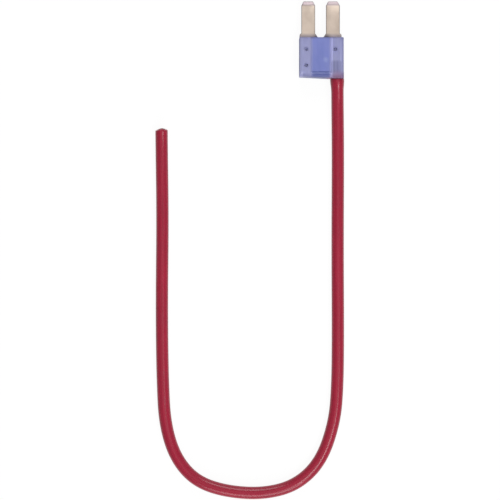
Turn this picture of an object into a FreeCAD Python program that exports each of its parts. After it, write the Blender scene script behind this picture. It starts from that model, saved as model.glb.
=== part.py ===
import FreeCAD, Part
import math
import os
import re

import Sketcher
from FreeCAD import Vector

# Blade fuse with a factory-fitted lead, lying flat on its broad face.
# The lead leaves the head of the fuse, runs away from the blades, turns back in one wide
# bend and ends in a plain cut.

# Frame: +X to the right, +Y towards the blade tips, +Z up from the face that the fuse
# lies on, in millimetres. Each piece is drawn from the middle of the housing's blade side,
# and one shift then puts the origin under the middle of the fuse.

doc = FreeCAD.newDocument("fuse_lead")

# Driving dimensions, in millimetres.
SIZES = [
    # moulded housing
    ("housing_width", 9.05),
    ("housing_thickness", 3.8),
    ("head_left_length", 8.0),
    ("head_right_length", 8.45),
    ("edge_radius", 0.18),
    ("panel_left", 1.95),
    ("panel_right", 1.75),
    ("panel_length", 7.15),
    ("panel_depth", 0.22),
    ("panel_bevel", 0.36),
    ("cavity_depth", 6.95),
    ("chamber_thickness", 2.2),
    ("dimple_radius", 0.36),
    ("dimple_depth", 0.4),
    ("probe_slot_width", 1.5),
    ("probe_slot_height", 0.7),
    # stamped element
    ("metal_thickness", 0.8),
    ("blade_length", 7.5),
    ("blade_width", 2.8),
    ("blade_pitch", 5.05),
    ("pair_offset", 0.15),
    ("tip_side_cut", 0.43),
    ("tip_cut_length", 0.9),
    ("coin_length", 0.75),
    ("coin_depth", 0.26),
    ("shoulder_height", 0.92),
    ("shoulder_gap", 0.97),
    ("shoulder_step", 0.32),
    ("shoulder_flare", 0.1),
    ("leg_gap", 3.5),
    ("leg_width", 2.2),
    ("leg_length", 6.6),
    ("stake_outset", 0.45),
    ("stake_first", 2.46),
    ("stake_end_margin", 0.86),
    ("stake_radius", 0.36),
    ("link_thickness", 0.3),
    ("link_width", 0.55),
    ("link_reach", 0.95),
    ("link_first", 2.0),
    ("link_step", 1.3),
    ("link_bend_radius", 0.2),
    # crimp on the right leg
    ("crimp_centre", 2.98),
    ("crimp_width", 2.0),
    ("crimp_height", 1.8),
    ("crimp_start", 4.95),
    ("crimp_length", 1.95),
    ("crimp_corner", 0.38),
    ("crimp_seam_depth", 0.2),
    ("crimp_seam_width", 0.3),
    # lead
    ("wire_centre", 3.25),
    ("insulation_diameter", 2.55),
    ("core_across_corners", 1.6),
    ("crimped_across_corners", 1.3),
    ("gripped_diameter", 2.44),
    ("mouth_width", 2.9),
    ("mouth_height", 2.8),
    ("mouth_length", 3.0),
    ("grip_depth", 1.2),
    ("boss_wall", 0.18),
    ("boss_length", 1.45),
    ("boss_end", 8.5),
    ("nip_drop", 0.35),
    # clearances
    ("slot_clearance", 0.05),
    ("stake_clearance", 0.02),
]

sheet = doc.addObject("Spreadsheet::Sheet", "Sizes")
for row, (name, number) in enumerate(SIZES, start=1):
    sheet.set("A%d" % row, name)
    sheet.set("B%d" % row, str(number))
    sheet.setAlias("B%d" % row, name)
doc.recompute()


def size(name):
    """The number that a cell of the sheet holds."""
    return float(getattr(sheet, name))


def cells(expression):
    """Put the sheet's name before each cell that an expression names."""
    return re.sub(r"[a-z]+_[a-z_]+", r"Sizes.\g<0>", expression)


def new_body(label):
    """An empty body with a name of its own."""
    body = doc.addObject("PartDesign::Body", label)
    body.Label = label
    return body


def place(piece, sideways="0"):
    """Shift a piece so that the origin lies under the middle of the fuse."""
    proud = "(wire_centre + gripped_diameter / 2 + boss_wall - housing_width / 2)"
    piece.setExpression("Placement.Base.x", cells(sideways + " - " + proud + " / 2"))
    piece.setExpression("Placement.Base.y", cells("(boss_end - blade_length) / 2"))


def new_sketch(body, name, role, offset="0"):
    """A sketch on one of the body's own planes, moved along the plane's normal."""
    plane = [item for item in body.Origin.OriginFeatures if item.Role == role][0]
    sketch = body.newObject("Sketcher::SketchObject", name)
    sketch.AttachmentSupport = [(plane, "")]
    sketch.MapMode = "FlatFace"
    sketch.setExpression("AttachmentOffset.Base.z", cells(offset))
    return sketch


def bind(sketch, kind, targets, name, expression):
    """Add one dimension to a sketch and bind it to the sheet."""
    start = float(sketch.evalExpression(cells(expression)))
    index = sketch.addConstraint(Sketcher.Constraint(kind, *targets, start))
    sketch.renameConstraint(index, name)
    sketch.setExpression("Constraints." + name, cells(expression))


def draw_outline(sketch, corners, tag="corner"):
    """A closed outline of straight lines, each corner bound to the sheet."""
    spots = []
    for across, up in corners:
        spots.append(Vector(float(sketch.evalExpression(cells(across))),
                            float(sketch.evalExpression(cells(up))), 0))
    first = sketch.GeometryCount
    count = len(spots)
    for index in range(count):
        following = spots[(index + 1) % count]
        sketch.addGeometry(Part.LineSegment(spots[index], following), False)
    for index in range(count):
        joined = (first + index, 2, first + (index + 1) % count, 1)
        sketch.addConstraint(Sketcher.Constraint("Coincident", *joined))
    for index, (across, up) in enumerate(corners):
        point = (-1, 1, first + index, 1)
        bind(sketch, "DistanceX", point, "%s%dx" % (tag, index), across)
        bind(sketch, "DistanceY", point, "%s%dy" % (tag, index), up)


def draw_circle(sketch, across, up, radius, tag="ring"):
    """A circle whose centre and radius are bound to the sheet."""
    centre = Vector(float(sketch.evalExpression(cells(across))),
                    float(sketch.evalExpression(cells(up))), 0)
    start = float(sketch.evalExpression(cells(radius)))
    index = sketch.addGeometry(Part.Circle(centre, Vector(0, 0, 1), start), False)
    bind(sketch, "DistanceX", (-1, 1, index, 3), tag + "x", across)
    bind(sketch, "DistanceY", (-1, 1, index, 3), tag + "y", up)
    bind(sketch, "Radius", (index,), tag + "r", radius)


def extrude(body, kind, sketch, length, backwards=False, both_ways=False):
    """Pad or Pocket a sketch, and check that it changed the body's volume."""
    before = body.Shape.Volume if body.Shape and body.Shape.Solids else 0.0
    feature = body.newObject("PartDesign::" + kind, sketch.Name + "_" + kind.lower())
    feature.Profile = sketch
    feature.setExpression("Length", cells(length))
    feature.Reversed = backwards
    if both_ways:
        feature.SideType = "Symmetric"
    doc.recompute()
    change = body.Shape.Volume - before
    wrong = change <= 0 if kind == "Pad" else change >= 0
    print("%-28s %s %+.4f mm3" % (sketch.Name, kind, change), "WRONG" if wrong else "")
    return feature


def edges_where(shape, test):
    """Names of the edges whose two ends both pass a test."""
    names = []
    for index, edge in enumerate(shape.Edges, start=1):
        ends = [vertex.Point for vertex in edge.Vertexes]
        if len(ends) == 2 and test(ends[0], ends[1]):
            names.append("Edge%d" % index)
    return names


def dress(body, kind, name, base, edges, amount):
    """Fillet or Chamfer some edges of the body's last feature."""
    feature = body.newObject("PartDesign::" + kind, name)
    feature.Base = (base, edges)
    feature.setExpression("Radius" if kind == "Fillet" else "Size", cells(amount))
    doc.recompute()
    print("%-28s %s on %d edges" % (name, kind, len(edges)))
    return feature


# Housing: one moulding, open on the blade side, with the element staked inside it.
def make_housing():
    body = new_body("fuse_housing")
    half = "housing_width / 2"
    middle = "housing_thickness / 2"

    outline = new_sketch(body, "housing_outline", "XY_Plane")
    draw_outline(outline, [
        ("-" + half, "0"),
        ("-" + half, "-head_left_length"),
        (half, "-head_right_length"),
        (half, "0"),
    ])
    block = extrude(body, "Pad", outline, "housing_thickness")
    every_edge = edges_where(block.Shape, lambda one, two: True)
    dress(body, "Fillet", "housing_rounding", block, every_edge, "edge_radius")

    # A sleeve round the lead stands slightly proud at the head's right-hand corner.
    boss = new_sketch(body, "lead_boss", "XZ_Plane", "boss_end - boss_length")
    draw_circle(boss, "wire_centre", middle, "gripped_diameter / 2 + boss_wall")
    extrude(body, "Pad", boss, "boss_length")

    # Both broad faces have a shallow middle panel with bevelled sides, open to the blade side.
    for name, level, backwards in (("panel_top", "housing_thickness - panel_depth", True),
                                   ("panel_bottom", "panel_depth", False)):
        panel = new_sketch(body, name, "XY_Plane", level)
        draw_outline(panel, [
            ("-panel_left", "panel_depth"),
            ("-panel_left", "-panel_length"),
            ("panel_right", "-panel_length"),
            ("panel_right", "panel_depth"),
        ])
        cut = extrude(body, "Pocket", panel, "panel_depth", backwards)
        cut.setExpression("TaperAngle", cells("atan(panel_bevel / panel_depth)"))
        doc.recompute()

    # The cavity: a slot for each leg and a deeper chamber between them for the link.
    slot = "(metal_thickness / 2 + slot_clearance)"
    chamber = "chamber_thickness / 2"
    inner = "(leg_gap / 2 - slot_clearance)"
    outer = "(leg_gap / 2 + leg_width + slot_clearance)"
    cavity = new_sketch(body, "element_cavity", "XZ_Plane")
    right = [(outer, "-" + slot), (outer, slot), (inner, slot), (inner, chamber)]
    left = [("-" + across, up) for across, up in reversed(right)]
    lower_left = [("-" + outer, "-" + slot), ("-" + inner, "-" + slot), ("-" + inner, "-" + chamber)]
    lower_right = [(inner, "-" + chamber), (inner, "-" + slot)]
    ring = right + left[:3] + lower_left + lower_right
    draw_outline(cavity, [(across + " - pair_offset", middle + " + " + up) for across, up in ring])
    extrude(body, "Pocket", cavity, "cavity_depth", backwards=True)

    # Room for the crimp, and the bore that grips the insulation.
    room = new_sketch(body, "crimp_room", "XZ_Plane", "crimp_start - slot_clearance")
    side = "(crimp_width / 2 + slot_clearance)"
    rise = "(crimp_height / 2 + slot_clearance)"
    draw_outline(room, [
        ("crimp_centre - " + side, middle + " - " + rise),
        ("crimp_centre + " + side, middle + " - " + rise),
        ("crimp_centre + " + side, middle + " + " + rise),
        ("crimp_centre - " + side, middle + " + " + rise),
    ])
    depth = "boss_end - grip_depth - crimp_start + slot_clearance"
    extrude(body, "Pocket", room, depth, backwards=True)
    bore = new_sketch(body, "lead_bore", "XZ_Plane", "boss_end - grip_depth")
    draw_circle(bore, "wire_centre", middle, "gripped_diameter / 2")
    extrude(body, "Pocket", bore, "grip_depth", backwards=True)

    # A small slot in the head over the left leg lets a test probe reach the metal.
    probe = new_sketch(body, "probe_slot", "XZ_Plane", "cavity_depth")
    centre = "(-pair_offset - leg_gap / 2 - leg_width / 2)"
    draw_outline(probe, [
        (centre + " - probe_slot_width / 2", middle + " - probe_slot_height / 2"),
        (centre + " + probe_slot_width / 2", middle + " - probe_slot_height / 2"),
        (centre + " + probe_slot_width / 2", middle + " + probe_slot_height / 2"),
        (centre + " - probe_slot_width / 2", middle + " + probe_slot_height / 2"),
    ])
    extrude(body, "Pocket", probe, "head_left_length", backwards=True)

    # Plastic pips fill the stake holes, under a dimple in each broad face.
    stakes = stake_places()
    pips = new_sketch(body, "stake_pips", "XY_Plane", middle + " - " + slot)
    for index, (across, up) in enumerate(stakes):
        radius = "stake_radius - stake_clearance"
        draw_circle(pips, across + " - pair_offset", up, radius, "pip%d" % index)
    extrude(body, "Pad", pips, "metal_thickness + 2 * slot_clearance")
    for name, level, backwards in (("dimples_top", "housing_thickness - dimple_depth", True),
                                   ("dimples_bottom", "dimple_depth", False)):
        dimples = new_sketch(body, name, "XY_Plane", level)
        for index, (across, up) in enumerate(stakes):
            place_across = across + " - pair_offset"
            draw_circle(dimples, place_across, up, "dimple_radius * 2 / 3", "dimple%d" % index)
        cut = extrude(body, "Pocket", dimples, "dimple_depth", backwards)
        cut.setExpression("TaperAngle", cells("atan(dimple_radius / 3 / dimple_depth)"))
        doc.recompute()
    place(body)
    return body


def stake_places():
    """Two stake holes in the left leg, and one in the right leg above its crimp."""
    across = "(blade_pitch / 2 + stake_outset)"
    return [
        ("-" + across, "-stake_first"),
        ("-" + across, "stake_end_margin - leg_length"),
        (across, "-stake_first"),
    ]


# Element: one stamping with two blades, their legs and the thin link between them.
def make_element():
    body = new_body("fuse_element")
    middle = "housing_thickness / 2"

    # The link is a thin strip that doubles back twice between the legs.
    link = new_sketch(body, "fuse_link", "XY_Plane", middle + " - link_thickness / 2")
    anchor = "(leg_gap / 2 + link_width)"
    upper = "-link_first"
    centre = "(-link_first - link_step)"
    lower = "(-link_first - 2 * link_step)"
    outer = "link_reach"
    inner = "(link_reach - link_width)"
    draw_outline(link, [
        ("-" + anchor, upper),
        (outer, upper),
        (outer, centre + " - link_width"),
        ("-" + inner, centre + " - link_width"),
        ("-" + inner, lower),
        (anchor, lower),
        (anchor, lower + " - link_width"),
        ("-" + outer, lower + " - link_width"),
        ("-" + outer, centre),
        (inner, centre),
        (inner, upper + " - link_width"),
        ("-" + anchor, upper + " - link_width"),
    ])
    strip = extrude(body, "Pad", link, "link_thickness")
    reach = size("link_reach") + size("link_width") / 2

    def turns(one, two):
        upright = abs(one.z - two.z) > size("link_thickness") / 2
        return upright and abs(one.x) < reach

    corners = edges_where(strip.Shape, turns)
    dress(body, "Fillet", "link_bends", strip, corners, "link_bend_radius")

    # One blade, its shoulder and its leg, then the same again across the middle.
    blade = new_sketch(body, "blade_and_leg", "XY_Plane", middle + " - metal_thickness / 2")
    near = "(blade_pitch / 2 - blade_width / 2)"
    far = "(blade_pitch / 2 + blade_width / 2)"
    tip = "blade_length"
    outline = [
        (near + " + tip_side_cut", tip),
        (near, tip + " - tip_cut_length"),
        (near, "shoulder_height"),
        ("shoulder_gap / 2", "0"),
        ("leg_gap / 2", "0"),
        ("leg_gap / 2", "-leg_length"),
        ("leg_gap / 2 + leg_width", "-leg_length"),
        ("leg_gap / 2 + leg_width", "0"),
        (far + " + shoulder_step + shoulder_flare", "0"),
        (far + " + shoulder_step", "shoulder_height - shoulder_step / 2"),
        (far, "shoulder_height"),
        (far, tip + " - tip_cut_length"),
        (far + " - tip_side_cut", tip),
    ]
    draw_outline(blade, [("-(" + across + ")", up) for across, up in outline])
    left = extrude(body, "Pad", blade, "metal_thickness")
    mirror = body.newObject("PartDesign::Mirrored", "right_blade")
    mirror.Originals = [left]
    plane = [item for item in body.Origin.OriginFeatures if item.Role == "YZ_Plane"][0]
    mirror.MirrorPlane = (plane, [""])
    body.Tip = mirror
    doc.recompute()

    # The tips are coined to a wedge on both faces.
    coin = new_sketch(body, "coined_tips", "YZ_Plane")
    top = middle + " + metal_thickness / 2"
    bottom = middle + " - metal_thickness / 2"
    draw_outline(coin, [(tip, top), (tip + " - coin_length", top), (tip, top + " - coin_depth")])
    lower_wedge = [(tip, bottom), (tip + " - coin_length", bottom), (tip, bottom + " + coin_depth")]
    draw_outline(coin, lower_wedge, "lower")
    extrude(body, "Pocket", coin, "2 * housing_width", both_ways=True)

    # The right leg stops where its crimp begins.
    stop = new_sketch(body, "leg_stop", "XY_Plane", middle + " - metal_thickness")
    lap = "(crimp_start + metal_thickness / 4)"
    draw_outline(stop, [
        ("leg_gap / 2 - slot_clearance", "-" + lap),
        ("leg_gap / 2 + leg_width + slot_clearance", "-" + lap),
        ("leg_gap / 2 + leg_width + slot_clearance", "-leg_length - slot_clearance"),
        ("leg_gap / 2 - slot_clearance", "-leg_length - slot_clearance"),
    ])
    extrude(body, "Pocket", stop, "2 * metal_thickness", backwards=True)

    holes = new_sketch(body, "stake_holes", "XY_Plane", middle + " - metal_thickness")
    for index, (across, up) in enumerate(stake_places()):
        draw_circle(holes, across, up, "stake_radius", "hole%d" % index)
    extrude(body, "Pocket", holes, "2 * metal_thickness", backwards=True)

    # The crimp is the end of the right leg, rolled over the core from both sides.
    crimp = new_sketch(body, "crimp_barrel", "XZ_Plane", "crimp_start")
    side = "crimp_width / 2"
    rise = "crimp_height / 2"
    ring = [
        ("-crimp_seam_width / 2", rise),
        ("0", rise + " - crimp_seam_depth"),
        ("crimp_seam_width / 2", rise),
        (side + " - crimp_corner", rise),
        (side, rise + " - crimp_corner"),
        (side, "-" + rise + " + crimp_corner"),
        (side + " - crimp_corner", "-" + rise),
        ("-" + side + " + crimp_corner", "-" + rise),
        ("-" + side, "-" + rise + " + crimp_corner"),
        ("-" + side, rise + " - crimp_corner"),
        ("-" + side + " + crimp_corner", rise),
    ]
    axis = "crimp_centre + pair_offset"
    draw_outline(crimp, [(axis + " + " + across, middle + " + " + up) for across, up in ring])
    extrude(body, "Pad", crimp, "crimp_length")
    bore = new_sketch(body, "crimp_bore", "XZ_Plane", "crimp_start + metal_thickness / 4")
    corner = "crimped_across_corners / 2"
    draw_outline(bore, [
        (axis + " + " + corner + " * cos(%d)" % turn, middle + " + " + corner + " * sin(%d)" % turn)
        for turn in range(30, 390, 60)
    ])
    extrude(body, "Pocket", bore, "crimp_length", backwards=True)
    place(body, "-pair_offset")
    return body


# Lead: its corners are chosen by hand, in the fuse's own frame, from just outside the
# housing to the cut end. The first point is the housing's mouth, which the sizes give.
ROUTE = [
    (3.3, -13.7, 1.9),
    (3.4, -23.4, 1.275),
    (3.3, -42.5, 1.275),
    (3.4, -59.5, 1.275),
    (3.3, -70.8, 1.275),
    (2.7, -78.2, 1.275),
    (0.0, -86.2, 1.275),
    (-4.9, -91.1, 1.275),
    (-11.5, -93.0, 1.275),
    (-19.3, -92.6, 1.275),
    (-25.7, -90.5, 1.275),
    (-29.9, -85.8, 1.275),
    (-32.1, -78.9, 1.275),
    (-32.6, -70.2, 1.275),
    (-32.8, -54.9, 1.275),
    (-32.6, -36.5, 1.275),
    (-32.8, -18.3, 1.275),
]

# An arc begins this share of the shorter run away from its corner.
ARC_SHARE = 0.45


def frame_shift():
    """How far the fuse's own frame lies from the middle of the blade side."""
    proud = size("wire_centre") + size("gripped_diameter") / 2 + size("boss_wall")
    proud = proud - size("housing_width") / 2
    return Vector(-proud / 2, (size("boss_end") - size("blade_length")) / 2, 0)


def rounded_path(spots):
    """Straight runs joined by tangent arcs, each as large as its two runs allow."""
    edges = []
    radii = []
    start = spots[0]
    for before, corner, after in zip(spots, spots[1:], spots[2:]):
        inward = (corner - before).normalize()
        outward = (after - corner).normalize()
        turn = inward.getAngle(outward)
        shorter = min(corner.distanceToPoint(before), after.distanceToPoint(corner))
        setback = ARC_SHARE * shorter
        radius = setback / math.tan(turn / 2)
        enter = corner - inward * setback
        leave = corner + outward * setback
        bisector = (outward - inward).normalize()
        crown = corner + bisector * (math.hypot(radius, setback) - radius)
        edges.append(Part.LineSegment(start, enter).toShape())
        edges.append(Part.Arc(enter, crown, leave).toShape())
        radii.append(round(radius, 1))
        start = leave
    edges.append(Part.LineSegment(start, spots[-1]).toShape())
    print("radii of the lead's bends", radii)
    return Part.Wire(edges)


def swept(path, section):
    """A solid along the path, its volume set against its section times its length."""
    solid = path.makePipe(Part.Face(section))
    expected = Part.Face(section).Area * path.Length
    print("swept volume %.3f, expected %.3f" % (solid.Volume, expected))
    return solid


def round_ring(centre, along, radius):
    """A circle across the lead."""
    return Part.Wire([Part.Circle(centre, along, radius).toShape()])


def six_sided_ring(centre, along, across_corners):
    """The strands of the core pack into a six-sided bundle; this is its outline."""
    sideways = along.cross(Vector(0, 0, 1)).normalize()
    upward = sideways.cross(along).normalize()
    corners = []
    for turn in range(30, 390, 60):
        angle = math.radians(turn)
        offset = sideways * math.cos(angle) + upward * math.sin(angle)
        corners.append(centre + offset * (across_corners / 2))
    return Part.makePolygon(corners + corners[:1])


def rod(start, end, radius):
    """A round bar between two points."""
    return Part.makeCylinder(radius, start.distanceToPoint(end), start, end - start)


def oval_ring(centre, width, height):
    """An oval across the lead, at the housing's mouth."""
    long_end = centre + Vector(width / 2, 0, 0)
    short_end = centre + Vector(0, 0, height / 2)
    return Part.Wire([Part.Ellipse(long_end, short_end, centre).toShape()])


def make_lead():
    """The insulation and the copper core inside it, from the crimp to the cut end."""
    shift = frame_shift()
    middle = size("housing_thickness") / 2
    mouth = Vector(size("wire_centre"), -size("boss_end"), middle) + shift
    spots = [mouth] + [Vector(*point) for point in ROUTE]
    path = rounded_path(spots)
    print("length of the lead outside the housing %.1f mm" % path.Length)
    tube_radius = size("insulation_diameter") / 2
    straight = path.Edges[0]
    leading = straight.tangentAt(straight.FirstParameter)

    # Outside: gripped in the head, bulging at the mouth, then plain to the end.
    grip = mouth + Vector(0, size("grip_depth"), 0)
    stub = rod(grip, mouth, size("gripped_diameter") / 2)
    bulge_end = mouth + leading * size("mouth_length")
    bulge_ring = round_ring(bulge_end, leading, tube_radius)
    mouth_ring = oval_ring(mouth, size("mouth_width"), size("mouth_height"))
    bulge = Part.makeLoft([mouth_ring, bulge_ring], True)
    first_run = Part.LineSegment(bulge_end, straight.valueAt(straight.LastParameter)).toShape()
    tube = swept(Part.Wire([first_run] + path.Edges[1:]), bulge_ring)
    outside = tube.fuse([stub, bulge])

    # Inside: the core runs on through the grip and narrows into the crimp.
    across = size("core_across_corners")
    crimped_across = size("crimped_across_corners")
    crimp_start = -size("crimp_start") - size("metal_thickness") / 4
    crimp_end = -size("crimp_start") - size("crimp_length")
    crimped_start = Vector(size("crimp_centre"), crimp_start, middle) + shift
    crimped_end = Vector(size("crimp_centre"), crimp_end, middle) + shift
    along = Vector(0, -1, 0)
    stations = [
        six_sided_ring(crimped_start, along, crimped_across),
        six_sided_ring(crimped_end, along, crimped_across),
        six_sided_ring(grip, along, across),
        six_sided_ring(mouth, along, across),
    ]
    tail = Part.makeLoft(stations, True, True)
    core = swept(path, six_sided_ring(mouth, leading, across)).fuse(tail)

    # Side cutters nipped the far end: two slopes meet in an upright ridge across it.
    last = spots[-1]
    heading = (last - spots[-2]).normalize()
    sideways = heading.cross(Vector(0, 0, 1))
    reach = 2 * size("insulation_diameter")
    insulation = outside.cut(core)
    for side in (-1, 1):
        slant = (heading + sideways * side * size("nip_drop") / tube_radius).normalize()
        block = Part.makeBox(2 * reach, 2 * reach, reach, Vector(-reach, -reach, 0))
        block.Placement = FreeCAD.Placement(last, FreeCAD.Rotation(Vector(0, 0, 1), slant))
        insulation = insulation.cut(block)
        core = core.cut(block)
    pieces = []
    for label, shape in (("wire_insulation", insulation), ("copper_core", core)):
        piece = doc.addObject("Part::Feature", label)
        piece.Label = label
        piece.Shape = shape
        pieces.append(piece)
    return pieces


def main():
    pieces = [make_housing(), make_element()] + make_lead()
    doc.recompute()
    for item in doc.Objects:
        if "Invalid" in item.State or "Error" in item.State:
            raise RuntimeError("%s has failed: %s" % (item.Label, item.State))
    os.makedirs("parts", exist_ok=True)
    for piece in pieces:
        shape = piece.Shape
        if shape.isNull() or not shape.isValid() or len(shape.Solids) != 1:
            raise RuntimeError("%s isn't one valid solid" % piece.Label)
        shape.exportStep("parts/%s.step" % piece.Label)
        box = shape.optimalBoundingBox(False, False)
        corners = (box.XMin, box.YMin, box.ZMin, box.XMax, box.YMax, box.ZMax)
        print("%-16s %8.2f mm3  " % (piece.Label, shape.Volume), [round(v, 3) for v in corners])


main()
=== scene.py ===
# %% [markdown]
# This lesson dresses a blade fuse with a lead. On the real thing a moulded plastic housing
# holds a stamped and plated element. Its two blades plug into a fuse box, and a red lead is
# crimped to one leg of it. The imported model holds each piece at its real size, so it is
# loaded first and the looks are built around it.

import math
import random

import bmesh
import bpy
from mathutils import Matrix, Vector


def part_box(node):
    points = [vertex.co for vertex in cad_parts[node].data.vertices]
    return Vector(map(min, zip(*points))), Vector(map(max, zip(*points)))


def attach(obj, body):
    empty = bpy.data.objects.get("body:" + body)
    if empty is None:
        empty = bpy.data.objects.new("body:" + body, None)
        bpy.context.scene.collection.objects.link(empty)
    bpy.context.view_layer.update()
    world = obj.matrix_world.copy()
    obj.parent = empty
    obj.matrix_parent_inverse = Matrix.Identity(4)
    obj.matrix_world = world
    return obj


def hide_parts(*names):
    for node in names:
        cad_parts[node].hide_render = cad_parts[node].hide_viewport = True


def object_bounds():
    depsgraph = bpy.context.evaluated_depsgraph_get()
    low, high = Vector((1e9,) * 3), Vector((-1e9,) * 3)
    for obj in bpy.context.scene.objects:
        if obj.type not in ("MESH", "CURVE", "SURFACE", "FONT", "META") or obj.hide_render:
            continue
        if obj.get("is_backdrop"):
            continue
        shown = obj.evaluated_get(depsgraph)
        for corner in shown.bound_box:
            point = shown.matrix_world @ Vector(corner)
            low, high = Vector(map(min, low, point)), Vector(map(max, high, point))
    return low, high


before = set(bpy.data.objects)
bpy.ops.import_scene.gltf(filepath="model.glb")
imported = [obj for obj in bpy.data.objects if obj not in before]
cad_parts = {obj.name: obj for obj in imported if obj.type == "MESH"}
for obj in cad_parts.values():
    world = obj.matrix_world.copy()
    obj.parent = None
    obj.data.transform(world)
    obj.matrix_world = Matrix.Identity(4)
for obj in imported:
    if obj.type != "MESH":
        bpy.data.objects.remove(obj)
cad_low, cad_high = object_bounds()
MM = 0.001
print("nodes", sorted(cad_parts))
print("box in mm", [round(value / MM, 2) for value in (*cad_low, *cad_high)])

# %% [markdown]
# The camera comes first, because every piece is judged through it. The fuse lies flat on
# the table and the picture is taken from straight above, with the blades at the top. A long
# lens keeps the picture nearly free of perspective, and its distance follows from the width
# of the table that the picture shows.

# %% Aim the camera
VIEW_CENTRE = Vector((-14.67, -42.96)) * MM
VIEW_WIDTH = 102.5 * MM
LENS = 150.0
SENSOR = 36.0

housing_low, housing_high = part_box("fuse_housing")
middle_height = (housing_low.z + housing_high.z) / 2
camera_data = bpy.data.cameras.new("camera")
camera_data.lens = LENS
camera_data.sensor_width = SENSOR
camera = bpy.data.objects.new("camera", camera_data)
camera.location = (*VIEW_CENTRE, middle_height + VIEW_WIDTH * LENS / SENSOR)
bpy.context.scene.collection.objects.link(camera)
bpy.context.scene.camera = camera
print("camera height in mm", round(camera.location.z / MM, 1))

# %% [markdown]
# The lead lies on the table under its own weight. Its line is one smooth NURBS curve whose
# control points are listed: straight out of the housing, down to the table, round
# one wide bend and back to a cut end that stands up a little. A curve is the easiest way to
# keep such a line fair, and the meshes that follow read their stations from it.

# %% Draw the line of the lead
LEAD_DIAMETER = 2.55 * MM
LINE_STEPS = 14
MOUTH = Vector((3.1875, -8.0, 1.9)) * MM
ROUTE = [
    (3.25, -9.6, 1.9), (3.3, -13.4, 1.275), (3.4, -23.4, 1.275), (3.3, -42.5, 1.275),
    (3.4, -59.5, 1.275), (3.3, -70.8, 1.275), (2.7, -78.2, 1.275), (0.0, -86.2, 1.275),
    (-4.9, -91.1, 1.275), (-11.5, -93.0, 1.275), (-19.3, -92.6, 1.275), (-25.7, -90.5, 1.275),
    (-29.9, -85.8, 1.275), (-32.1, -78.9, 1.275), (-32.6, -70.2, 1.275), (-32.8, -54.9, 1.275),
    (-32.6, -36.5, 1.275), (-32.8, -22.2, 1.275), (-32.8, -18.15, 2.05),
]


def line_through(corners, steps):
    """Points along the smooth curve that a list of control points gives."""
    line = bpy.data.curves.new("lead_line", "CURVE")
    line.dimensions = "3D"
    spline = line.splines.new("NURBS")
    spline.points.add(len(corners) - 1)
    for point, corner in zip(spline.points, corners):
        point.co = (*corner, 1.0)
    spline.order_u = 3
    spline.use_endpoint_u = True
    line.resolution_u = steps
    holder = bpy.data.objects.new("lead_line", line)
    bpy.context.scene.collection.objects.link(holder)
    bpy.context.view_layer.update()
    flat = bpy.data.meshes.new_from_object(holder)
    points = [vertex.co.copy() for vertex in flat.vertices]
    bpy.data.meshes.remove(flat)
    bpy.data.objects.remove(holder)
    return points


lead_line = line_through([MOUTH] + [Vector(corner) * MM for corner in ROUTE], LINE_STEPS)
lead_length = sum((after - before).length for before, after in zip(lead_line, lead_line[1:]))
print("lead", len(lead_line), "points,", round(lead_length / MM, 1), "mm long")

# %% [markdown]
# A tube along a line can be a bevelled curve, a Skin modifier or a swept ring. The ring is
# swept here, because it can be squeezed at the mouth and shaped at the cut. Each station is
# a matrix: its X and Y axes span the ring, so their lengths are its half width and half
# height. A vertex attribute keeps the way round and the way along for the finish.

# %% Sweep a ring through stations
TOUCHING = 1e-7


def station(place, along, half_width, half_height):
    """The matrix of a ring that stands across a line."""
    side = along.cross(Vector((0, 0, 1))).normalized()
    upward = side.cross(along).normalized()
    turned = Matrix((side * half_width, upward * half_height, along * half_width)).transposed()
    return Matrix.Translation(place) @ turned.to_4x4()


def headings(points):
    """The direction of a line at each of its points."""
    around = zip(points[:1] + points[:-1], points[1:] + points[-1:])
    return [(after - before).normalized() for before, after in around]


def sweep(bm, stations, sides, closed):
    """Extrude a ring from station to station; gives the edges of its two end rings."""
    wrap = bm.verts.layers.float_vector.get("wrap") or bm.verts.layers.float_vector.new("wrap")
    made = bmesh.ops.create_circle(bm, segments=sides, radius=1.0, matrix=stations[0],
                                   cap_ends=closed)
    ring = sorted({edge for vert in made["verts"] for edge in vert.link_edges},
                  key=lambda edge: edge.index)
    first_ring = ring
    corners = made["verts"]
    travelled = 0.0
    before = stations[0]
    for place in stations:
        if place is not before:
            grown = bmesh.ops.extrude_edge_only(bm, edges=ring)["geom"]
            corners = [item for item in grown if isinstance(item, bmesh.types.BMVert)]
            ring = [item for item in grown if isinstance(item, bmesh.types.BMEdge)]
            bmesh.ops.transform(bm, matrix=place @ before.inverted(), verts=corners)
            travelled += (place.translation - before.translation).length
        inward = place.inverted()
        for vert in corners:
            local = inward @ vert.co
            vert[wrap] = (local.x, local.y, travelled / LEAD_DIAMETER)
        before = place
    if closed:
        bmesh.ops.edgeloop_fill(bm, edges=ring)
    return first_ring, ring


def finish_mesh(bm, name, angle=40):
    """Turn a bmesh into a smooth-shaded object that rides with the fuse."""
    bmesh.ops.remove_doubles(bm, verts=bm.verts, dist=TOUCHING)
    bmesh.ops.recalc_face_normals(bm, faces=bm.faces)
    mesh = bpy.data.meshes.new(name)
    bm.to_mesh(mesh)
    bm.free()
    mesh.shade_smooth()
    mesh.set_sharp_from_angle(angle=math.radians(angle))
    piece = bpy.data.objects.new(name, mesh)
    bpy.context.scene.collection.objects.link(piece)
    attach(piece, "root")
    print(name, len(mesh.polygons), "faces")
    return piece


lead_headings = headings(lead_line)
print("the lead leaves along", [round(value, 2) for value in lead_headings[0]])

# %% [markdown]
# The insulation is extruded PVC. The head grips it, so it bulges to an oval at the mouth and
# eases back to round within a few millimetres. It is one sweep for the outside and one for
# the bore, because both follow the same line at their own radius.

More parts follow.
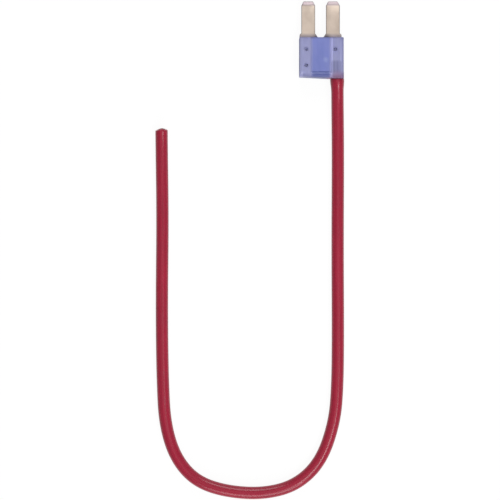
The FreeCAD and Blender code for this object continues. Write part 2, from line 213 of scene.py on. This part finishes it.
# %% Sweep the insulation
GRIPPED_RADIUS = 1.2 * MM
GRIP_STOP = 0.1 * MM
MOUTH_HALF = Vector((1.45, 1.53)) * MM
BULGE_LENGTH = 2.6 * MM
BORE_RADIUS = 0.77 * MM
LEAD_SIDES = 32


def eased(share):
    """A smooth step from 0 to 1."""
    share = min(max(share, 0.0), 1.0)
    return share * share * (3 - 2 * share)


insulation_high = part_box("wire_insulation")[1]
radius = LEAD_DIAMETER / 2
back = Vector((0, -1, 0))
grip_end = Vector((MOUTH.x, insulation_high.y, MOUTH.z))
grip_stop = MOUTH + Vector((0, GRIP_STOP, 0))
outside = [station(place, back, GRIPPED_RADIUS, GRIPPED_RADIUS) for place in (grip_end, grip_stop)]
inside = [station(grip_end, back, BORE_RADIUS, BORE_RADIUS)]
travelled = 0.0
for index, (point, heading) in enumerate(zip(lead_line, lead_headings)):
    if index:
        travelled += (point - lead_line[index - 1]).length
    share = eased(travelled / BULGE_LENGTH)
    half_width = MOUTH_HALF.x + (radius - MOUTH_HALF.x) * share
    half_height = MOUTH_HALF.y + (radius - MOUTH_HALF.y) * share
    outside.append(station(point, heading, half_width, half_height))
    inside.append(station(point, heading, BORE_RADIUS, BORE_RADIUS))
bm = bmesh.new()
outer_start, outer_end = sweep(bm, outside, LEAD_SIDES, False)
inner_start, inner_end = sweep(bm, inside, LEAD_SIDES, False)
print("insulation swept through", len(outside), "rings")

# %% [markdown]
# Side cutters have nipped the far end, which leaves two shallow slopes that meet in a soft
# ridge. The end rings are pushed back by their distance from the middle, which is simpler
# than a cut. Both ends are then bridged from the outside to the bore, and the sharp outer
# edge of the cut is rounded off.

# %% Nip the end and close both ends
NIP_SLOPE = 0.31
NIP_LEAN = -0.05
NIP_ROUNDING = 0.35 * MM
END_ROUNDING = 0.09 * MM

across = lead_headings[-1].cross(Vector((0, 0, 1))).normalized()
for edge_ring in (outer_end, inner_end):
    for vert in {vert for edge in edge_ring for vert in edge.verts}:
        sideways = (vert.co - lead_line[-1]).dot(across)
        drop = NIP_SLOPE * (math.hypot(sideways, NIP_ROUNDING) - NIP_ROUNDING)
        drop += NIP_LEAN * sideways
        bmesh.ops.translate(bm, verts=[vert], vec=-lead_headings[-1] * drop)
bmesh.ops.bridge_loops(bm, edges=outer_start + inner_start)
bmesh.ops.bridge_loops(bm, edges=outer_end + inner_end)
bmesh.ops.recalc_face_normals(bm, faces=bm.faces)
bmesh.ops.bevel(bm, geom=outer_end, offset=END_ROUNDING, offset_type="OFFSET", segments=2,
                profile=0.5, affect="EDGES", material=-1, clamp_overlap=True)
insulation = finish_mesh(bm, "lead_insulation")
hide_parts("wire_insulation")

# %% [markdown]
# The core is nineteen thin copper strands, six round one and twelve round those, twisted
# together. Each strand is a narrow sweep whose centre circles the line of the lead. In the
# crimp they are squeezed closer, and at the cut they end a little unevenly.

# %% Lay the copper strands
STRAND_RADIUS = 0.145 * MM
STRAND_RINGS = [(1, 0.0), (6, 0.3 * MM), (12, 0.59 * MM)]
STRAND_SIDES = 6
TWIST_LENGTH = 24 * MM
CRIMP_X = 2.9175 * MM
CRIMP_SQUEEZE = 0.84
UNEVEN_END = 0.12 * MM
LEAST_UNEVEN = 0.4
UNEVEN_SEED = 5

core_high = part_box("copper_core")[1]
element_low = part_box("fuse_element")[0]
crimp_stops = (core_high.y, (core_high.y + element_low.y) / 2, element_low.y)
core_line = [Vector((CRIMP_X, stop, MOUTH.z)) for stop in crimp_stops]
core_line.append(Vector((MOUTH.x, insulation_high.y, MOUTH.z)))
core_line += lead_line[:-1:2] + lead_line[-1:]
squeezes = [CRIMP_SQUEEZE] * len(crimp_stops)
squeezes += [1.0] * (len(core_line) - len(squeezes))
core_headings = headings(core_line)
uneven = random.Random(UNEVEN_SEED)

bm = bmesh.new()
one_strand = bpy.data.meshes.new("one_strand")
for count, out in STRAND_RINGS:
    for number in range(count):
        start = 2 * math.pi * number / count
        travelled = 0.0
        stations = []
        for index, (point, heading) in enumerate(zip(core_line, core_headings)):
            if index:
                travelled += (point - core_line[index - 1]).length
            turn = start + 2 * math.pi * travelled / TWIST_LENGTH
            ring = station(point, heading, 1.0, 1.0).to_3x3()
            offset = ring @ Vector((math.cos(turn), math.sin(turn), 0)) * out * squeezes[index]
            thick = STRAND_RADIUS * squeezes[index]
            stations.append(station(point + offset, heading, thick, thick))
        pull = uneven.uniform(LEAST_UNEVEN, 1.0) * UNEVEN_END + NIP_SLOPE * out
        stations[-1].translation -= core_headings[-1] * pull
        strand = bmesh.new()
        sweep(strand, stations, STRAND_SIDES, True)
        strand.to_mesh(one_strand)
        strand.free()
        bm.from_mesh(one_strand)
bpy.data.meshes.remove(one_strand)
strands = finish_mesh(bm, "core_strands")
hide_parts("copper_core")

# %% [markdown]
# Stamping rolls the edges of the strip over a little. The imported element has sharp edges,
# so a copy of it is merged, its flat faces are made whole again and the sharp edges outside
# the housing are bevelled. A vertex attribute keeps how far each vertex leans away from the
# flat, and the finish paints shade on those rounds, which draws the dark lines along the blades.

# %% Round the element's edges
ROLLED_EDGE = 0.19 * MM
SHARP_TURN = math.radians(35)
LEVEL_TURN = math.radians(0.5)
CAD_TOUCHING = 2e-7
INSIDE_MARGIN = 0.2 * MM
ELEMENT_SMOOTH = 25

bm = bmesh.new()
bm.from_mesh(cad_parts["fuse_element"].data)
bmesh.ops.remove_doubles(bm, verts=bm.verts, dist=CAD_TOUCHING)
bmesh.ops.dissolve_limit(bm, angle_limit=LEVEL_TURN, verts=bm.verts, edges=bm.edges)
bare_from = housing_high.y - INSIDE_MARGIN
outside_edges = [edge for edge in bm.edges
                 if edge.is_manifold and edge.is_convex and edge.calc_face_angle() > SHARP_TURN
                 and max(vert.co.y for vert in edge.verts) > bare_from]
bmesh.ops.bevel(bm, geom=outside_edges, offset=ROLLED_EDGE, offset_type="OFFSET", segments=3,
                profile=0.5, affect="EDGES", material=-1, clamp_overlap=True)
edge_lean = bm.verts.layers.float.new("edge_lean")
for vert in bm.verts:
    vert[edge_lean] = 1 - abs(vert.normal.z)
print("rounded", len(outside_edges), "edges")
element = finish_mesh(bm, "stamped_element", ELEMENT_SMOOTH)
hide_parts("fuse_element")

# %% [markdown]
# A finish is a small graph of nodes. Written as Python expressions it stays readable: one
# class wraps a socket and turns plus, minus and times into Math nodes. It takes a plain
# number on either side.

# %% Write shader maths as expressions
class Value:
    """A socket that carries a number, a place or a colour."""

    def __init__(self, finish, socket):
        self.finish = finish
        self.socket = socket

    def maths(self, operation, *terms):
        return self.finish.node("ShaderNodeMath", {"operation": operation},
                                dict(enumerate(terms)))

    def __add__(self, other):
        return self.maths("ADD", self, other)

    def __sub__(self, other):
        return self.maths("SUBTRACT", self, other)

    def __rsub__(self, other):
        return self.maths("SUBTRACT", other, self)

    def __mul__(self, other):
        return self.maths("MULTIPLY", self, other)

    def __abs__(self):
        return self.maths("ABSOLUTE", self)

    def or_more(self, other):
        return self.maths("MAXIMUM", self, other)

    __radd__ = __add__
    __rmul__ = __mul__


def pick(sockets, key):
    """A node's socket by its number, its identifier or its name."""
    if isinstance(key, int):
        return sockets[key]
    for socket in sockets:
        if socket.identifier == key:
            return socket
    return sockets[key]


# %% [markdown]
# The second class holds the node tree of a material or of the world. One method makes any
# node from its type, its settings and what feeds its sockets. Short methods name what the
# finishes need again and again: grain, a mask between two places, a tint.

# %% Make nodes by one method
class Finish:
    """The node tree of a material or of the world."""

    def __init__(self, owner):
        owner.use_nodes = True
        self.tree = owner.node_tree
        self.tree.nodes.clear()

    def node(self, kind, settings=None, inputs=None, output=0):
        """Make a node, set it up, feed its sockets and give one of its outputs."""
        made = self.tree.nodes.new(kind)
        for name, setting in (settings or {}).items():
            setattr(made, name, setting)
        for key, given in (inputs or {}).items():
            socket = pick(made.inputs, key)
            if isinstance(given, Value):
                self.tree.links.new(given.socket, socket)
            else:
                socket.default_value = given
        return Value(self, pick(made.outputs, output)) if made.outputs else None

    def place(self):
        """Where a point of the piece lies, in the piece's own frame."""
        return self.node("ShaderNodeTexCoord", output="Object")

    def axis(self, where, name):
        """One coordinate of a place."""
        return self.node("ShaderNodeSeparateXYZ", {}, {"Vector": where}, name)

    def kept(self, name, output):
        """What a mesh keeps at its vertices under a name."""
        return self.node("ShaderNodeAttribute", {"attribute_name": name}, {}, output)

    def ray(self, kind):
        """A mask for rays of one kind."""
        return self.node("ShaderNodeLightPath", {}, {}, "Is " + kind + " Ray")

    def stretched(self, where, scale):
        """Coordinates drawn out by a scale for each axis."""
        return self.node("ShaderNodeVectorMath", {"operation": "MULTIPLY"},
                         {0: where, 1: scale})

    def distance(self, where, centre):
        """How far a point lies from a centre."""
        return self.node("ShaderNodeVectorMath", {"operation": "DISTANCE"},
                         {0: where, 1: centre}, "Value")

    def noise(self, where, scale, detail):
        """Soft random grain between 0 and 1."""
        return self.node("ShaderNodeTexNoise", {},
                         {"Vector": where, "Scale": scale, "Detail": detail})

    def ramp(self, value, start, end):
        """A mask that is 0 at the start, 1 at the end and straight between them."""
        return self.node("ShaderNodeMapRange", {"clamp": True},
                         {"Value": value, "From Min": start, "From Max": end})

    def band(self, value, low, high, soft):
        """A mask that is 1 from low to high and fades out over a soft edge."""
        return self.ramp(value, low - soft, low) * self.ramp(value, high + soft, high)

    def mix(self, factor, first, second):
        """Blend two colours."""
        return self.node("ShaderNodeMix", {"data_type": "RGBA"},
                         {"Factor_Float": factor, "A_Color": first, "B_Color": second},
                         "Result_Color")

    def tint(self, tone, mask, share, other):
        """Blend a share of another colour into a tone where a mask says so."""
        return self.mix(share * mask, tone, other)

    def bump(self, height, strength, distance):
        """A normal that leans as a height map would make it."""
        return self.node("ShaderNodeBump", {},
                         {"Height": height, "Strength": strength, "Distance": distance})

    def surface(self, **inputs):
        """End the tree of a material in a Principled shader."""
        named = {name.replace("_", " "): given for name, given in inputs.items()}
        shader = self.node("ShaderNodeBsdfPrincipled", {}, named)
        self.node("ShaderNodeOutputMaterial", {}, {"Surface": shader})
        print("finish ends with", len(self.tree.nodes), "nodes")


# %% [markdown]
# Tones are written as a picture editor names them, which makes them easy to compare with a
# photo. The shaders want linear light, so one function turns them. Noise gathers round its
# middle value, so most masks made from it stretch only the middle of its range.

# %% Write colours and put a finish on a piece
MIDDLE_RANGE = (0.3, 0.7)


def colour(red, green, blue):
    """A colour as a picture editor names it, 0 to 255, made linear."""
    def linear(value):
        value = value / 255
        return value / 12.92 if value <= 0.04045 else ((value + 0.055) / 1.055) ** 2.4
    return (linear(red), linear(green), linear(blue), 1.0)


def finish_for(piece, name):
    """The tree of a new material, which is put on a piece as its only one."""
    material = bpy.data.materials.new(name)
    piece.data.materials.clear()
    piece.data.materials.append(material)
    return Finish(material)


print("middle grey is", round(colour(128, 128, 128)[0], 3), "in linear light")

# %% [markdown]
# The lead is a soft, deep red PVC. Extruding it leaves faint streaks along its length and
# handling leaves slightly duller patches. Both follow the lead round its bend, so they read
# the attribute that the sweep kept and not the place in the room.

# %% Finish the insulation
PVC_TONES = (colour(133, 21, 43), colour(147, 29, 52))
HANDLED = (0.35, colour(128, 29, 50))
STREAK_STRETCH = (3.0, 3.0, 0.12)
STREAKS = (2.2, 4.0)
STREAK_RANGE = (0.35, 0.65)
PATCHES = (0.9, 3.0)
PATCH_RANGE = (0.5, 0.75)
GRAIN = (26.0, 2.0)
GRAIN_SHARE = 0.04
PVC_BUMP = (0.06, 0.04 * MM)
PVC_DULLNESS = 0.24
HANDLED_DULLNESS = 0.06

pvc = finish_for(insulation, "red_pvc")
wrap = pvc.kept("wrap", "Vector")
streaks = pvc.noise(pvc.stretched(wrap, STREAK_STRETCH), *STREAKS)
patches = pvc.noise(wrap, *PATCHES)
grain = pvc.noise(wrap, *GRAIN)
tone = pvc.mix(pvc.ramp(streaks, *STREAK_RANGE), *PVC_TONES)
tone = pvc.tint(tone, pvc.ramp(patches, *PATCH_RANGE), *HANDLED)
pvc.surface(Base_Color=tone, Specular_IOR_Level=0.34,
            Roughness=PVC_DULLNESS + HANDLED_DULLNESS * pvc.ramp(patches, *MIDDLE_RANGE),
            Normal=pvc.bump(streaks + GRAIN_SHARE * grain, *PVC_BUMP))

# %% [markdown]
# Bare copper strands are bright where they were cut and slightly browned along their length.
# A mix of two coppers, driven by grain along the strand, gives that.

# %% Finish the strands
COPPER_TONES = (colour(224, 148, 110), colour(188, 106, 76))
COPPER_STRETCH = (1.0, 1.0, 0.6)
BROWNING = (3.0, 3.0)
COPPER_DULLNESS = 0.2
BROWNED_DULLNESS = 0.2

copper = finish_for(strands, "bare_copper")
wrap = copper.kept("wrap", "Vector")
browned = copper.noise(copper.stretched(wrap, COPPER_STRETCH), *BROWNING)
tone = copper.mix(copper.ramp(browned, *MIDDLE_RANGE), *COPPER_TONES)
copper.surface(Base_Color=tone, Metallic=1.0,
               Roughness=COPPER_DULLNESS + BROWNED_DULLNESS * browned)

# %% [markdown]
# The element is zinc alloy with a tin plating, which looks warm grey and satin. The rolled
# strip leaves fine lines along the blades, and plugging in has left faint clouds. Shade is
# painted on the rolled edges. Beside the housing a violet reflection of the plastic and some
# shade are painted on the metal, with darker painted shade between the blades. The coined tips
# are duller, and painted shade tones down their highlight.

# %% Finish the element
TIN_TONES = (colour(218, 200, 185), colour(230, 213, 198))
PAINTED_EDGE_SHADE = (0.85, colour(88, 83, 86))
EDGE_SHADE_RANGE = (0.02, 0.3)
SHOULDER_REFLECTION_SHADE = (0.6, colour(122, 119, 148))
SHOULDER_RANGE = (1.5 * MM, 0.7 * MM)
NOTCH_SHADE = (0.7, colour(66, 64, 82))
NOTCH_RANGE = (1.9 * MM, 1.1 * MM)
COINED_TIP_SHADE = (0.85, colour(150, 138, 146))
COINED_RANGE = (6.9 * MM, 7.3 * MM)
ROLLING_STRETCH = (9000.0, 260.0, 900.0)
ROLLING = (1.0, 3.0)
CLOUDS = (420.0, 3.0)
ROLLING_BUMP = (0.12, 0.02 * MM)
TIN_DULLNESS = 0.26
LINE_DULLNESS = 0.1
CLOUD_DULLNESS = 0.08
COINED_DULLNESS = 0.14

tin = finish_for(element, "tin_plate")
here = tin.place()
across = tin.axis(here, "X")
along = tin.axis(here, "Y")
lines = tin.noise(tin.stretched(here, ROLLING_STRETCH), *ROLLING)
clouds = tin.noise(here, *CLOUDS)
near_housing = tin.ramp(along, *SHOULDER_RANGE)
between_blades = tin.ramp(abs(across), *NOTCH_RANGE)
coined = tin.ramp(along, *COINED_RANGE)
tone = tin.mix(tin.ramp(clouds, *MIDDLE_RANGE), *TIN_TONES)
# Painted shade on the rolled edges, where they lean away from the flat.
tone = tin.tint(tone, tin.ramp(tin.kept("edge_lean", "Fac"), *EDGE_SHADE_RANGE), *PAINTED_EDGE_SHADE)
# Painted violet reflection of the housing and painted shade on the metal beside it.
tone = tin.tint(tone, near_housing, *SHOULDER_REFLECTION_SHADE)
# Painted shade between the blades where they meet the housing.
tone = tin.tint(tone, between_blades * near_housing, *NOTCH_SHADE)
# Painted shade on the coined tips, which tones down their highlight.
tone = tin.tint(tone, coined, *COINED_TIP_SHADE)
dullness = TIN_DULLNESS + LINE_DULLNESS * lines + CLOUD_DULLNESS * clouds
dullness = dullness + COINED_DULLNESS * coined
tin.surface(Base_Color=tone, Metallic=1.0, Roughness=dullness,
            Normal=tin.bump(lines, *ROLLING_BUMP))

# %% [markdown]
# The housing is a milky, blue-violet plastic. Alpha would make it look like clear film, so
# its surface is part transmission, which lets the metal through, and part plain plastic,
# which gives the milk. Its tone starts as two zones, one over the legs and one over the
# panel between them, each with the faint streaks that the plastic's flow left. The zone over
# the legs is painted lighter, a painted reflection of the metal behind it, and the panel zone
# deeper, a painted shade of the hollow under it.

# %% Tone the housing's zones
LEG_TONES = (colour(150, 152, 203), colour(172, 174, 215))
PANEL_TONES = (colour(122, 134, 204), colour(139, 148, 214))
PANEL = (-1.65 * MM, 1.35 * MM)
PANEL_SOFT = 0.7 * MM
FLOW_STRETCH = (650.0, 150.0, 300.0)
FLOW = (1.0, 3.0)
FINE_GRAIN = (5200.0, 2.0)

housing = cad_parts["fuse_housing"]
plastic = finish_for(housing, "violet_plastic")
here = plastic.place()
across = plastic.axis(here, "X")
along = plastic.axis(here, "Y")
flow = plastic.noise(plastic.stretched(here, FLOW_STRETCH), *FLOW)
fine = plastic.noise(here, *FINE_GRAIN)
flowed = plastic.ramp(flow, *MIDDLE_RANGE)
panel = plastic.band(across, *PANEL, PANEL_SOFT)
# Painted reflection of the metal over the legs, painted shade over the panel.
tone = plastic.mix(panel, plastic.mix(flowed, *LEG_TONES), plastic.mix(flowed, *PANEL_TONES))
print("two zones take", len(plastic.tree.nodes), "nodes")

# %% [markdown]
# Soft marks of light and shade are painted into the tone: a painted highlight band beside the
# right leg, painted shade over the crimp inside and its two rolled ears, and painted shade at
# the foot of the panel. Each mark is a mask between two places.

# %% Paint a highlight band and shade over the crimp and the panel's foot
HIGHLIGHT_BAND = (1.8 * MM, 2.15 * MM)
HIGHLIGHT_BAND_SOFT = 0.15 * MM
BAND_HIGHLIGHT = (0.8, colour(200, 202, 255))
CRIMP_ACROSS = (2.2 * MM, 3.4 * MM)
CRIMP_ALONG = (-6.5 * MM, -4.6 * MM)
CRIMP_SOFT = 0.5 * MM
CRIMP_SHADE = (0.45, colour(98, 100, 154))
EARS = (2.55 * MM, 3.15 * MM)
EAR_REACH = 0.16 * MM
EAR_SHADE = (0.35, colour(84, 86, 132))
PANEL_FOOT = (-6.35 * MM, -6.6 * MM)
FOOT_SHADE = (0.95, colour(62, 77, 152))

highlight_band = plastic.band(across, *HIGHLIGHT_BAND, HIGHLIGHT_BAND_SOFT)
# Painted highlight along the edge beside the right leg.
tone = plastic.tint(tone, highlight_band, *BAND_HIGHLIGHT)
crimp = plastic.band(across, *CRIMP_ACROSS, CRIMP_SOFT)
crimp = crimp * plastic.band(along, *CRIMP_ALONG, CRIMP_SOFT)
# Painted shade over the crimp inside the housing.
tone = plastic.tint(tone, crimp, *CRIMP_SHADE)
# Painted shade along the crimp's two rolled ears.
for middle in EARS:
    ear = crimp * plastic.ramp(abs(across - middle), EAR_REACH, 0.0)
    tone = plastic.tint(tone, ear, *EAR_SHADE)
# Painted shade at the foot of the panel, which tones down its bright end wall.
tone = plastic.tint(tone, panel * plastic.ramp(along, *PANEL_FOOT), *FOOT_SHADE)
print("with the marks inside it takes", len(plastic.tree.nodes), "nodes")

# %% [markdown]
# Shade is painted along the housing's borders: at three sides and, more weakly, at the blade
# side.

# %% Paint shade along the housing's borders
LEFT_BORDER = 0.5 * MM
RIGHT_BORDER = 1.1 * MM
FOOT_BORDER = 1.3 * MM
BLADE_BORDER = 0.4 * MM
BLADE_SIDE_SHARE = 0.7
BORDER_SHADE = (0.85, colour(86, 88, 140))

border = plastic.ramp(across, housing_low.x + LEFT_BORDER, housing_low.x)
border = border.or_more(plastic.ramp(across, housing_high.x - RIGHT_BORDER, housing_high.x))
border = border.or_more(plastic.ramp(along, housing_low.y + FOOT_BORDER, housing_low.y))
blade_side = plastic.ramp(along, housing_high.y - BLADE_BORDER, housing_high.y)
border = border.or_more(BLADE_SIDE_SHARE * blade_side)
# Painted shade along the borders.
tone = plastic.tint(tone, border, *BORDER_SHADE)
print("with its borders it takes", len(plastic.tree.nodes), "nodes")

# %% [markdown]
# Three stakes pin the metal, and shade is painted round their dimples. A pale spot in the
# panel is a painted highlight. The red of the gripped end of the lead is painted into the
# corner, as red light showing through the plastic. All of them are masks by the distance
# from a centre.

# %% Paint shade at the stakes, a highlight spot and the lead's red
STAKES = [(-3.19, -1.96), (-3.19, -5.24), (2.76, -1.96)]
STAKE_RANGE = (0.7 * MM, 0.2 * MM)
STAKE_SHADE = (0.55, colour(104, 106, 152))
HIGHLIGHT_SPOT = (0.81, -4.1)
HIGHLIGHT_SPOT_RANGE = (0.7 * MM, 0.0)
SPOT_HIGHLIGHT = (0.55, colour(178, 190, 232))
LEAD_SHOWING_RANGE = (2.7 * MM, 1.4 * MM)
LEAD_SHOWING_RED = (0.7, colour(162, 62, 84))

on_face = plastic.stretched(here, (1.0, 1.0, 0.0))
# Painted shade round the stakes' dimples.
for x, y in STAKES:
    from_stake = plastic.distance(on_face, (x * MM, y * MM, 0.0))
    tone = plastic.tint(tone, plastic.ramp(from_stake, *STAKE_RANGE), *STAKE_SHADE)
# A painted highlight spot in the panel.
from_highlight_spot = plastic.distance(on_face, (HIGHLIGHT_SPOT[0] * MM, HIGHLIGHT_SPOT[1] * MM, 0.0))
tone = plastic.tint(tone, plastic.ramp(from_highlight_spot, *HIGHLIGHT_SPOT_RANGE), *SPOT_HIGHLIGHT)
# Painted red light of the gripped lead, showing through the corner.
from_mouth = plastic.distance(here, tuple(MOUTH))
tone = plastic.tint(tone, plastic.ramp(from_mouth, *LEAD_SHOWING_RANGE), *LEAD_SHOWING_RED)
print("with the stakes, gate and lead it takes", len(plastic.tree.nodes), "nodes")

# %% [markdown]
# The moulded surface is satin and very slightly wavy. A weak, soft coat gives it the sheen
# that a polished mould leaves.

# %% Give the housing its surface
PLASTIC_DULLNESS = 0.4
FINE_DULLNESS = 0.1
FINE_SHARE = 0.1
PLASTIC_BUMP = (0.2, 0.03 * MM)

plastic.surface(Base_Color=tone, Roughness=PLASTIC_DULLNESS + FINE_DULLNESS * fine,
                Transmission_Weight=0.42, IOR=1.5, Coat_Weight=0.06, Coat_Roughness=0.25,
                Normal=plastic.bump(flow + FINE_SHARE * fine, *PLASTIC_BUMP))

# %% [markdown]
# The object lies on a sheet of pale paper. The paper glows only for the eye, for reflections
# and for looks through the plastic. That keeps the background white and a trace of the
# shadow, and the glow doesn't light the matt surfaces.

# %% Lay the floor
FLOOR_SIDE = 6.0
FLOOR_WHITE = 0.94
PAPER = (0.92, 0.92, 0.92, 1.0)

bm = bmesh.new()
bmesh.ops.create_grid(bm, x_segments=1, y_segments=1, size=FLOOR_SIDE / 2)
floor_mesh = bpy.data.meshes.new("floor")
bm.to_mesh(floor_mesh)
bm.free()
floor = bpy.data.objects.new("floor", floor_mesh)
bpy.context.scene.collection.objects.link(floor)
floor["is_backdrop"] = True

paper = finish_for(floor, "studio_paper")
seen = paper.ray("Camera").or_more(paper.ray("Glossy")).or_more(paper.ray("Transmission"))
matt = paper.node("ShaderNodeBsdfDiffuse", {}, {"Color": PAPER})
glow = paper.node("ShaderNodeEmission", {}, {"Strength": 1.0})
both = paper.node("ShaderNodeMixShader", {}, {0: seen * FLOOR_WHITE, 1: matt, 2: glow})
paper.node("ShaderNodeOutputMaterial", {}, {"Surface": both})
print("floor", FLOOR_SIDE, "m wide")

# %% [markdown]
# The sky is even and dim. Only the eye sees it at full strength, so it lights the object
# softly without washing the metal out.

# %% Light the sky
WORLD_LIGHT = 0.43

world = bpy.data.worlds.new("studio")
bpy.context.scene.world = world
sky = Finish(world)
level = sky.node("ShaderNodeMapRange", {},
                 {"Value": sky.ray("Camera"), "To Min": WORLD_LIGHT, "To Max": 1.0})
backdrop = sky.node("ShaderNodeBackground", {}, {"Strength": level})
sky.node("ShaderNodeOutputWorld", {}, {"Surface": backdrop})
print("sky at", WORLD_LIGHT)

# %% [markdown]
# Four lamps shape the highlights. Two broad boxes stand beyond the blades and beyond the
# bend, so the lead shows a highlight along each flank where it crosses the picture. A key
# box at the right catches the bulge at the mouth and the cut end. A wide, weak box overhead
# gives the flat metal something to reflect.

# %% Set up the lamps
LAMPS = [
    ("far_box", (0.06, 0.52, 0.34), 0.5, 0.3, 2.2),
    ("near_box", (0.06, -0.52, 0.36), 0.5, 0.3, 2.4),
    ("key_box", (0.25, -0.25, 0.6), 0.3, 0.12, 1.8),
    ("top_box", (0.0, 0.08, 0.9), 0.6, 0.5, 0.48),
]


def soft_box(name, place, width, depth, power):
    """A rectangular lamp that looks at the middle of the picture."""
    lamp_data = bpy.data.lights.new(name, "AREA")
    lamp_data.shape = "RECTANGLE"
    lamp_data.size = width
    lamp_data.size_y = depth
    lamp_data.energy = power
    lamp = bpy.data.objects.new(name, lamp_data)
    target = Vector((*VIEW_CENTRE, 0))
    lamp.location = target + Vector(place)
    lamp.rotation_euler = (target - lamp.location).to_track_quat("-Z", "Y").to_euler()
    bpy.context.scene.collection.objects.link(lamp)
    print(name, "at", [round(value, 2) for value in lamp.location])


for lamp in LAMPS:
    soft_box(*lamp)
bpy.context.scene.view_settings.view_transform = "Standard"

# %% [markdown]
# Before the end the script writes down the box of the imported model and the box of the
# dressed one, because dressing a part must not change its size.

# %% Compare the sizes and finish
low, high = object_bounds()
grown = zip((*cad_low, *cad_high), (*low, *high))
print("grown by mm", [round((after - before) / MM, 3) for before, after in grown])
